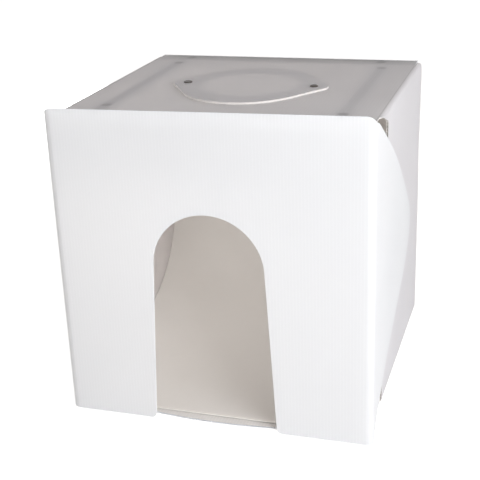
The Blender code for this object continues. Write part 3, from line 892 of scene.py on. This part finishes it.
def thicken(bm, thickness, slant=0.3, seams=()):
    """Gives the sheet its thickness below its outer face, with open flutes at its ends and no rim at seams.

    A rim face is a flute's end where the cut crosses the flutes by more than the slant.
    """
    settings = bpy.context.scene.tent_sheet
    skin = set(bm.verts)
    bm.normal_update()
    bmesh.ops.solidify(bm, geom=bm.faces[:], thickness=thickness)
    rim = [face for face in bm.faces if 0 < sum(vert in skin for vert in face.verts) < len(face.verts)]
    bm.normal_update()
    for face in rim:
        face.material_index = 1
    wall, depth = settings.flute_wall, settings.flute_depth
    smallest = 4 * wall
    ends = [
        face
        for face in rim
        if abs(face.normal.y) > slant and min(edge.calc_length() for edge in face.edges) > smallest
    ]
    joined = [
        face
        for face in rim
        for x in seams
        if all(abs(vert.co.x - x) < TINY for vert in face.verts)
    ]
    bmesh.ops.inset_individual(bm, faces=ends, thickness=wall, depth=-depth, use_even_offset=True)
    bmesh.ops.delete(bm, geom=joined, context="FACES_ONLY")


def stand(bm, stands, origin):
    """Turns a flat sheet the way that its panel stands, with the flat origin at a given point."""
    across, along, outward = (Vector(axis) for axis in STANDS[stands])
    turn = Matrix((across, along, outward)).transposed()
    bmesh.ops.transform(bm, matrix=Matrix.Translation(origin) @ turn.to_4x4(), verts=bm.verts)


def turned(profile, centre, axis):
    """A solid turned about a line; the profile gives radii and places along the axis."""
    bm = bmesh.new()
    across = (axis + 1) % 3
    line = []
    for radius, along in profile:
        place = list(centre)
        place[axis] = along
        place[across] += radius
        line.append(bm.verts.new(place))
    edges = [bm.edges.new(pair) for pair in zip(line, line[1:])]
    direction = Vector([1.0 if k == axis else 0.0 for k in range(3)])
    bmesh.ops.spin(
        bm,
        geom=[*line, *edges],
        cent=centre,
        axis=direction,
        angle=4 * QUARTER,
        steps=TURN_STEPS,
        use_merge=True,
    )
    bmesh.ops.remove_doubles(bm, verts=bm.verts, dist=TINY / 4)
    bmesh.ops.recalc_face_normals(bm, faces=bm.faces)
    return bm


def block(low, high, radius):
    """A box between two corners with rounded edges."""
    bm = bmesh.new()
    bmesh.ops.create_cube(bm, size=1.0)
    bmesh.ops.scale(bm, vec=high - low, verts=bm.verts)
    bmesh.ops.translate(bm, vec=(low + high) / 2, verts=bm.verts)
    rounded(bm, radius, EDGE_STEPS)
    return bm


def rounded(bm, radius, segments):
    """Rounds every edge of a bmesh."""
    bmesh.ops.bevel(
        bm,
        geom=bm.edges[:],
        offset=radius,
        segments=segments,
        profile=0.5,
        affect="EDGES",
        clamp_overlap=True,
        material=-1,
    )


def push(bm, grown, way):
    """Moves what an extrusion has just grown."""
    moved = [part for part in grown["geom"] if isinstance(part, bmesh.types.BMVert)]
    bmesh.ops.translate(bm, verts=moved, vec=way)


def dress(made, body, slot, *nodes):
    """Hangs a finished piece on its body and hides the nodes that it stands for; its slot is not used."""
    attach(made, body)
    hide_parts(*nodes)


# The sheets


def doorway():
    """The doorway's outline from its right foot to its left; over its head, every point lies on a rib."""
    settings = bpy.context.scene.tent_cover
    pitch, radius = bpy.context.scene.tent_sheet.flute_pitch, settings.arch_radius
    foot = FRONT_LOW.z + settings.foot_round
    dx, dz = settings.arch_foot, foot - settings.arch_spring
    turn = math.atan2(dz, dx) + math.acos(radius / math.hypot(dx, dz))
    wide = settings.arch_foot + settings.foot_round
    right_foot = arc((wide, foot), settings.foot_round, -QUARTER, -2 * QUARTER, steps=8)
    ribs = math.floor(0.9 * radius / pitch)
    spring = arc((0.0, settings.arch_spring), radius, turn, math.acos(ribs * pitch / radius), steps=16)
    places = [n * pitch for n in range(ribs - 1, -ribs, -1)]
    crown = [(x, settings.arch_spring + math.sqrt(radius**2 - x**2)) for x in places]
    right = [*right_foot, *spring]
    return [*right, *crown, *mirrored(right)]


def build_front():
    """The cover's flat front with its doorway."""
    settings = bpy.context.scene.tent_cover
    edge = settings.seam
    top, rise = FRONT_HIGH.z, settings.top_slope * edge
    corners = [(-edge, FRONT_LOW.z), (-edge, top - rise), (edge, top + rise), (edge, FRONT_LOW.z)]
    bm = flat_sheet([*doorway(), *corners])
    score_flutes(bm)
    thicken(bm, FRONT_HIGH.y - FRONT_LOW.y, slant=0.6, seams=(-edge, edge))
    stand(bm, "front", (0.0, FRONT_LOW.y, 0.0))
    made = finished("cover_front", bm, ("cover_skin", "cut_edge"))
    dress(made, "cover", "cover_white", "front_panel")


def build_wing(side, word):
    """One wing of the cover with the bend that joins it to the front, in one sheet."""
    settings = bpy.context.scene.tent_cover
    radius = settings.left_bend if side == LEFT else settings.right_bend
    crease = WING_HIGH.x - radius
    bend = radius * QUARTER
    corner = FRONT_LOW.y + radius
    reach = WING_HIGH.y - corner
    foot, height = FRONT_LOW.z, FRONT_HIGH.z - FRONT_LOW.z
    seam_top = FRONT_HIGH.z + side * settings.top_slope * settings.seam
    top = FRONT_HIGH.z + side * settings.top_slope * crease
    shoulder = [(crease + bend * u, top - drop) for u, drop in SHOULDER_DROPS]
    edge = [(crease + bend + reach * u, foot + height * v) for u, v in WING_EDGE_SHARES]
    outline = [(settings.seam, foot), (settings.seam, seam_top), *smooth_line([*shoulder, *edge], steps=8)]
    bm = flat_sheet([(side * x, z) for x, z in outline])
    score_flutes(bm)
    fold(bm, side * crease, side, radius, settings.bend_steps)
    thicken(bm, WING_HIGH.x - WING_LOW.x, seams=(side * settings.seam,))
    stand(bm, "front", (0.0, FRONT_LOW.y, 0.0))
    made = finished(f"{word}_wing_sheet", bm, ("cover_skin", "cut_edge"))
    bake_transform(made)
    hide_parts(f"{word}_cover_bend", f"{word}_wing")


def build_lid():
    """The lid and its two outer flaps, folded from one sheet, with the camera hole and the snaps' bores."""
    settings = bpy.context.scene.tent_lid
    crease = BACK_HIGH.x
    lip = crease + settings.lip_radius * QUARTER
    top = LID_HIGH.z - settings.lip_radius
    drop = lip + top - FLAP_LOW.z
    front = FLAP_LOW.y + settings.chamfer_length
    edge = crease + settings.lip_radius / 4
    notch = FLAP_LOW.y - settings.lip_radius * 0.6
    ease = front - settings.lip_radius * 0.4
    toe = front - settings.chamfer_length * 0.5
    corner = (edge + settings.corner_radius, FLAP_HIGH.y - settings.corner_radius)
    half = [
        (edge, LID_LOW.y),
        (edge, notch),
        (lip + settings.chamfer_drop * 0.8, ease),
        (lip + settings.chamfer_drop, front),
        (drop, toe),
        (drop, FLAP_HIGH.y),
        *arc(corner, settings.corner_radius, QUARTER, 2 * QUARTER, steps=10),
        (edge, LID_HIGH.y),
    ]
    bores = [((side * settings.snap_reach, 0.0), settings.snap_bore, BORE_STEPS) for side in (LEFT, RIGHT)]
    hole = ((0.0, 0.0), settings.hole_radius, HOLE_STEPS)
    bm = flat_sheet([*half, *mirrored(half)], [hole, *bores])
    score_flutes(bm)
    for side in (LEFT, RIGHT):
        fold(bm, side * crease, side, settings.lip_radius, steps=8)
    thicken(bm, FLAP_HIGH.x - FLAP_LOW.x, slant=0.5)
    stand(bm, "top", (0.0, 0.0, LID_HIGH.z))
    for vert in bm.verts:
        x, y, z = vert.co
        if abs(x) > crease + TINY:
            # A flap's rear leans out at its top and in at its foot, and its front the other way
            share = max(LEAN_IN, min(1.0, (z - LEAN_LEVEL) / LEAN_RISE))
            lean = settings.flap_lean * y / FLAP_HIGH.y * share
            vert.co.x += math.copysign(lean * min(1.0, (abs(x) - crease) / settings.lip_radius), x)
    made = finished("lid_sheet", bm, ("lid_skin", "lid_edge"))
    dress(made, "lid", "sheet_white", "top_panel", "left_outer_flap", "right_outer_flap")


def build_hole_flap():
    """The flap over the camera hole."""
    settings = bpy.context.scene.tent_lid
    half_length = (HOLE_FLAP_HIGH.x - HOLE_FLAP_LOW.x) / 2
    half_width = (HOLE_FLAP_HIGH.y - HOLE_FLAP_LOW.y) / 2
    quarter = smooth_line([(v * half_width, -u * half_length) for u, v in HOLE_FLAP_EDGE_SHARES], steps=6)
    half = [*quarter, *[(x, -y) for x, y in reversed(quarter[:-1])]]
    outline = [*half, *mirrored(half[1:-1])]
    bores = [((0.0, side * settings.snap_reach), settings.snap_bore, BORE_STEPS) for side in (LEFT, RIGHT)]
    bm = flat_sheet(outline, bores)
    score_flutes(bm)
    thicken(bm, settings.flap_thickness, slant=0.9)
    stand(bm, "top_crosswise", (0.0, 0.0, HOLE_FLAP_LOW.z + settings.flap_thickness))
    made = finished("camera_hole_flap", bm, ("sheet_skin", "lid_edge"))
    dress(made, "camera_flap", "sheet_white", "hole_flap")


def build_panel(node, name, stands, skin):
    """One plain wall of the box, cut from the same sheet."""
    low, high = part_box(node)
    across, along, outward = (Vector(axis) for axis in STANDS[stands])
    ends = sorted((low.dot(across), high.dot(across)))
    heights = sorted((low.dot(along), high.dot(along)))
    face = max(low.dot(outward), high.dot(outward))
    thickness = abs((high - low).dot(outward))
    corners = [(ends[0], heights[0]), (ends[1], heights[0]), (ends[1], heights[1]), (ends[0], heights[1])]
    bm = flat_sheet(corners)
    score_flutes(bm)
    thicken(bm, thickness)
    stand(bm, stands, outward * face)
    made = finished(name, bm, (skin, "cut_edge"))
    dress(made, "shell", "sheet_white", node)


def build_side(side, word):
    """One side wall of the box, with a rounded notch in its front top corner, behind the cover's wing."""
    settings = bpy.context.scene.tent_sheet
    low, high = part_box(f"{word}_side_panel")
    end, sill = low.y + settings.notch_length, high.z - settings.notch_depth
    radius = settings.notch_depth / 4
    outline = [
        (low.y, low.z),
        (high.y, low.z),
        (high.y, high.z),
        (end, high.z),
        *arc((end - radius, sill + radius), radius, 0.0, -QUARTER, steps=6),
        (low.y, sill),
    ]
    bm = flat_sheet([(side * y, z) for y, z in outline])
    score_flutes(bm)
    thicken(bm, high.x - low.x)
    stand(bm, word, (side * SIDE_HIGH.x, 0.0, 0.0))
    made = finished(f"{word}_side_sheet", bm, ("side_skin", "cut_edge"))
    dress(made, "shell", "sheet_white", f"{word}_side_panel")


def build_floor_panel():
    """The floor, its front edge bowed and falling back behind the cover's feet."""
    bow = bpy.context.scene.tent_sheet.floor_bow
    low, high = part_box("floor_panel")
    reach = BOW_REACH * bpy.context.scene.tent_cover.arch_radius
    places = [reach * BOW_SPAN * n / BOW_STEPS for n in range(-BOW_STEPS, BOW_STEPS + 1)]
    front = [(x, low.y + bow * min(1.0, (x / reach) ** 2 * BOW_DEPTH)) for x in places]
    back = [(high.x, low.y + bow), (high.x, high.y), (low.x, high.y), (low.x, low.y + bow)]
    bm = flat_sheet([*front, *back])
    score_flutes(bm)
    thicken(bm, high.z - low.z)
    stand(bm, "top", (0.0, 0.0, high.z))
    made = finished("floor_sheet", bm, ("floor_skin", "cut_edge"))
    dress(made, "shell", "sheet_white", "floor_panel")


def build_backdrop():
    """The sweep: along the floor, up the back, and folded forward under the rear strip."""
    settings = bpy.context.scene.tent_backdrop
    thickness, tab = settings.thickness, settings.tab_radius
    floor, wall, ceiling = SWEEP_LOW.z + thickness, SWEEP_HIGH.y - thickness, SWEEP_HIGH.z - thickness
    half = SIDE_HIGH.x - settings.side_gap
    line = [
        (SWEEP_LOW.y, floor + thickness),
        *[(y, floor + z) for y, z in smooth_line(SWEEP_CURVE, steps=5)],
        *arc((wall - tab, ceiling - tab), tab, 0.0, QUARTER, steps=8),
        (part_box("left_backdrop_magnet")[0].y, ceiling),
    ]
    bm = bmesh.new()
    corners = [bm.verts.new((-half, y, z)) for y, z in line]
    for pair in zip(corners, corners[1:]):
        bm.edges.new(pair)
    push(bm, bmesh.ops.extrude_edge_only(bm, edges=bm.edges[:]), (2 * half, 0.0, 0.0))
    bmesh.ops.recalc_face_normals(bm, faces=bm.faces)
    lowest = min(bm.faces, key=lambda face: face.calc_center_median().z)
    if lowest.normal.z < 0:
        bmesh.ops.reverse_faces(bm, faces=bm.faces)
    bmesh.ops.solidify(bm, geom=bm.faces[:], thickness=thickness)
    made = finished("sweep_backdrop", bm, ("backdrop_matte",))
    dress(made, "shell", "backdrop_white", "backdrop")


# Hardware


def build_disc(node, body, finish_name, slot):
    """A flat magnet or steel disc with rounded rims and a shallow dish."""
    low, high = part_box(node)
    size = high - low
    axis = min(range(3), key=lambda k: size[k])
    centre = (low + high) / 2
    radius = max(size) / 2
    start, end = low[axis], high[axis]
    rim = (end - start) / 5
    profile = [
        (0.0, start + rim / 2),
        (radius * 0.3, start + rim / 2),
        (radius * 0.34, start),
        (radius - rim, start),
        (radius - rim * 0.3, start + rim * 0.3),
        (radius, start + rim),
        (radius, end - rim),
        (radius - rim * 0.3, end - rim * 0.3),
        (radius - rim, end),
        (0.0, end),
    ]
    centre[axis] = start
    made = finished(f"{node}_disc", turned(profile, centre, axis), (finish_name,))
    dress(made, body, slot, node)


def build_snap(word):
    """One snap fastener: the domed cap on the hole flap, and the stud and washer under the lid."""
    node = f"{word}_snap_cap"
    low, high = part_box(node)
    middle = (low + high) / 2
    radius, top = (high.x - low.x) / 2, high.z
    tall = top - low.z
    bore = bpy.context.scene.tent_lid.snap_bore
    inner = low.z + tall / 2
    profile = [
        (0.0, inner),
        (bore, inner),
        (bore, low.z),
        (radius * 0.94, low.z),
        (radius, low.z + tall * 0.12),
        (radius, low.z + tall * 0.42),
        *arc((radius - tall * 0.45, top - tall * 0.45), tall * 0.45, 0.0, QUARTER, steps=6),
        (radius * 0.52, top),
        (radius * 0.44, top - tall * 0.10),
        (radius * 0.38, top - tall * 0.14),
        (0.0, top - tall * 0.14),
    ]
    cap = finished(f"{word}_snap_dome", turned(profile, (middle.x, middle.y, low.z), 2), ("snap_brown",))
    dress(cap, "camera_flap", "snap_grey", node)

    node = f"{word}_snap_stud"
    low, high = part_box(node)
    washer = (high.x - low.x) / 2
    shaft = bore - SNAP_PLAY
    shoulder = low.z + WASHER_THICKNESS
    profile = [
        (0.0, low.z + SNAP_EASE),
        (washer * 0.35, low.z + SNAP_EASE),
        (washer * 0.42, low.z),
        (washer * 0.90, low.z),
        (washer, low.z + SNAP_EASE),
        (washer, shoulder - 0.0002),
        (washer * 0.96, shoulder),
        (shaft, shoulder),
        (shaft, high.z - SNAP_EASE),
        (shaft * 0.8, high.z),
        (0.0, high.z),
    ]
    stud = finished(f"{word}_snap_post", turned(profile, (middle.x, middle.y, low.z), 2), ("snap_brown",))
    dress(stud, "lid", "snap_grey", node)


def build_bar(word):
    """One LED bar: a rounded channel, its diffuser and end caps, and the finishes of its board and socket."""
    body = f"{word}_bar"
    low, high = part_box(f"{word}_bar_channel")
    bm = bmesh.new()
    inner_low, inner_high = low.x + BAR_WALL, high.x - BAR_WALL
    roof = high.z - BAR_WALL
    points = [
        (low.x, low.z),
        (low.x, high.z),
        (high.x, high.z),
        (high.x, low.z),
        (inner_high, low.z),
        (inner_high, roof),
        (inner_low, roof),
        (inner_low, low.z),
    ]
    face = bm.faces.new([bm.verts.new((x, low.y, z)) for x, z in points])
    push(bm, bmesh.ops.extrude_face_region(bm, geom=[face]), (0.0, high.y - low.y, 0.0))
    bmesh.ops.recalc_face_normals(bm, faces=bm.faces)
    rounded(bm, CHANNEL_EDGE, segments=2)
    channel = finished(f"{word}_bar_body", bm, ("bar_satin_aluminium",))
    dress(channel, body, "bar_aluminium", f"{word}_bar_channel")

    low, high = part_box(f"{word}_bar_diffuser")
    lens = finished(f"{word}_bar_lens", block(low, high, DIFFUSER_EDGE), ("diffuser_opal",))
    dress(lens, body, "diffuser_opal", f"{word}_bar_diffuser")

    for end in ("front", "rear"):
        node = f"{word}_bar_{end}_cap"
        low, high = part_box(node)
        cap = finished(f"{word}_{end}_end_cap", block(low, high, CAP_EDGE), ("cap_grey",))
        dress(cap, body, "cap_grey", node)

    for part, look in (("led_board", "led_board_white"), ("socket", "cap_grey")):
        materials = frame["nodes"][f"{word}_bar_{part}"].data.materials
        materials.clear()
        materials.append(finish(look))


# Studio


def build_floor(settings):
    """The round pale floor."""
    bm = bmesh.new()
    bmesh.ops.create_circle(bm, cap_ends=True, segments=96, radius=settings.floor_radius)
    bmesh.ops.translate(bm, vec=(0.0, 0.0, -FLOOR_DROP), verts=bm.verts)
    floor = finished("studio_floor", bm, ("studio_floor",))


def build_room(settings):
    """The world: even light on the tent, and plain white behind it."""
    world = bpy.data.worlds.new("studio_room")
    bpy.context.scene.world = world
    world.use_nodes = True
    tree = world.node_tree
    rays = tree.nodes.new("ShaderNodeLightPath").outputs
    seen = maths(tree, "MAXIMUM", rays["Is Camera Ray"], rays["Is Glossy Ray"])
    clear = maths(tree, "SUBTRACT", rays["Is Transmission Ray"], rays["Is Diffuse Ray"])
    seen = maths(tree, "MAXIMUM", seen, clear)
    direction = tree.nodes.new("ShaderNodeTexCoord").outputs["Generated"]
    height = axes(tree, direction)["Z"]
    room = ramp(tree, height, 0.1, 0.75, settings.sky, settings.zenith)
    level = add(tree, "ShaderNodeMix", {0: seen, 2: room, 3: 1.0}, data_type="FLOAT").outputs[0]
    warm = blend_colours(tree, ramp(tree, height, 0.1, 0.75), (0.995, 1.0, 1.0, 1.0), (1.0, 0.91, 0.855, 1.0))
    background = {"Strength": level, "Color": blend_colours(tree, seen, warm, WHITE)}
    feed(tree, tree.nodes["Background"].inputs, background)


def hang_lamp(name, power, place, aim, wide, tall, tint):
    """One soft rectangular lamp that the camera doesn't see."""
    lamp = bpy.data.lights.new(name, "AREA")
    lamp.shape, lamp.size, lamp.size_y = "RECTANGLE", wide, tall
    lamp.energy, lamp.color = power, tint
    made = bpy.data.objects.new(name, lamp)
    made.location = place
    made.rotation_euler = (Vector(aim) - Vector(place)).to_track_quat("-Z", "Y").to_euler()
    made.visible_camera = False
    bpy.context.scene.collection.objects.link(made)


def build_camera(settings):
    """The camera at the photograph's angle."""
    camera = bpy.data.cameras.new("studio_camera")
    camera.sensor_width, camera.lens = 36.0, settings.lens
    made = bpy.data.objects.new("studio_camera", camera)
    yaw, pitch, roll = [math.radians(angle) for angle in CAMERA_TURN]
    turn = Matrix.Rotation(yaw, 4, "Z") @ Matrix.Rotation(pitch, 4, "X") @ Matrix.Rotation(roll, 4, "Z")
    made.matrix_world = Matrix.Translation(CAMERA_PLACE) @ turn
    bpy.context.scene.collection.objects.link(made)
    bpy.context.scene.camera = made


# Operators


class TENT_OT_front(bpy.types.Operator):
    """Cut the front of the cover with its doorway"""

    bl_idname = "tent.front"
    bl_label = "Cover Front"

    def execute(self, context):
        build_front()
        return {"FINISHED"}


class TENT_OT_wings(bpy.types.Operator):
    """Cut and bend the cover's two wings"""

    bl_idname = "tent.wings"
    bl_label = "Cover Wings"

    def execute(self, context):
        for side, word in SIDES:
            build_wing(side, word)
        return {"FINISHED"}


class TENT_OT_lid(bpy.types.Operator):
    """Cut and fold the lid with its outer flaps"""

    bl_idname = "tent.lid"
    bl_label = "Lid"

    def execute(self, context):
        build_lid()
        return {"FINISHED"}


class TENT_OT_hole_flap(bpy.types.Operator):
    """Cut the camera hole's flap and fit its snaps"""

    bl_idname = "tent.hole_flap"
    bl_label = "Camera Hole Flap"

    def execute(self, context):
        build_hole_flap()
        for word in ("pivot", "free"):
            build_snap(word)
        return {"FINISHED"}


class TENT_OT_walls(bpy.types.Operator):
    """Cut the floor, the back, the sides and the rear strip"""

    bl_idname = "tent.walls"
    bl_label = "Walls"

    def execute(self, context):
        build_floor_panel()
        for side, word in SIDES:
            build_side(side, word)
        build_panel("back_panel", "back_sheet", "back", "sheet_skin")
        build_panel("rear_strip", "rear_strip_sheet", "top", "strip_skin")
        return {"FINISHED"}


class TENT_OT_backdrop(bpy.types.Operator):
    """Hang the sweep backdrop"""

    bl_idname = "tent.backdrop"
    bl_label = "Sweep Backdrop"

    def execute(self, context):
        build_backdrop()
        return {"FINISHED"}


class TENT_OT_discs(bpy.types.Operator):
    """Fit the magnets and the steel discs that they grip"""

    bl_idname = "tent.discs"
    bl_label = "Magnets and Plates"

    def execute(self, context):
        for body, nodes in frame["record"]["behaviour"]["bodies"].items():
            for node in nodes:
                if node.endswith("_magnet"):
                    build_disc(node, body, "magnet_nickel", "magnet_steel")
                elif node.endswith("_plate"):
                    build_disc(node, body, "plate_zinc", "plate_steel")
        return {"FINISHED"}


class TENT_OT_bars(bpy.types.Operator):
    """Build the two LED bars"""

    bl_idname = "tent.bars"
    bl_label = "LED Bars"

    def execute(self, context):
        for word in ("left", "right"):
            build_bar(word)
        return {"FINISHED"}


class TENT_OT_stage(bpy.types.Operator):
    """Set the floor, the lamps, the room light and the camera"""

    bl_idname = "tent.stage"
    bl_label = "Studio"

    def execute(self, context):
        settings = context.scene.tent_stage
        build_floor(settings)
        build_room(settings)
        for word, details in LAMPS.items():
            hang_lamp(f"{word}_lamp", getattr(settings, f"{word}_power"), *details)
        build_camera(settings)
        context.scene.view_settings.view_transform = "Standard"
        return {"FINISHED"}


class TENT_PT_panel(bpy.types.Panel):
    """The light tent's pieces in the sidebar"""

    bl_idname = "TENT_PT_panel"
    bl_label = "Light Tent Cube"
    bl_space_type = "VIEW_3D"
    bl_region_type = "UI"
    bl_category = "Light Tent"

    def draw(self, context):
        for operator in OPERATORS:
            self.layout.operator(operator.bl_idname)
        for name in SETTINGS:
            settings = getattr(context.scene, name)
            for word in settings.__annotations__:
                self.layout.prop(settings, word)


OPERATORS = (
    TENT_OT_front,
    TENT_OT_wings,
    TENT_OT_lid,
    TENT_OT_hole_flap,
    TENT_OT_walls,
    TENT_OT_backdrop,
    TENT_OT_discs,
    TENT_OT_bars,
    TENT_OT_stage,
)
SETTINGS = {
    "tent_sheet": SheetSettings,
    "tent_cover": CoverSettings,
    "tent_lid": LidSettings,
    "tent_backdrop": BackdropSettings,
    "tent_stage": StageSettings,
}


def register():
    """Makes the settings, the operators and the panel known to Blender."""
    for name, settings in SETTINGS.items():
        bpy.utils.register_class(settings)
        setattr(bpy.types.Scene, name, PointerProperty(type=settings))
    for made in (*OPERATORS, TENT_PT_panel):
        bpy.utils.register_class(made)


def unregister():
    """Takes the panel, the operators and the settings away again."""
    for made in (TENT_PT_panel, *reversed(OPERATORS)):
        bpy.utils.unregister_class(made)
    for name, settings in reversed(SETTINGS.items()):
        delattr(bpy.types.Scene, name)
        bpy.utils.unregister_class(settings)


def main():
    """Builds every piece in order."""
    register()
    for operator in OPERATORS:
        package, name = operator.bl_idname.split(".")
        getattr(getattr(bpy.ops, package), name)()


if __name__ == "__main__":
    main()
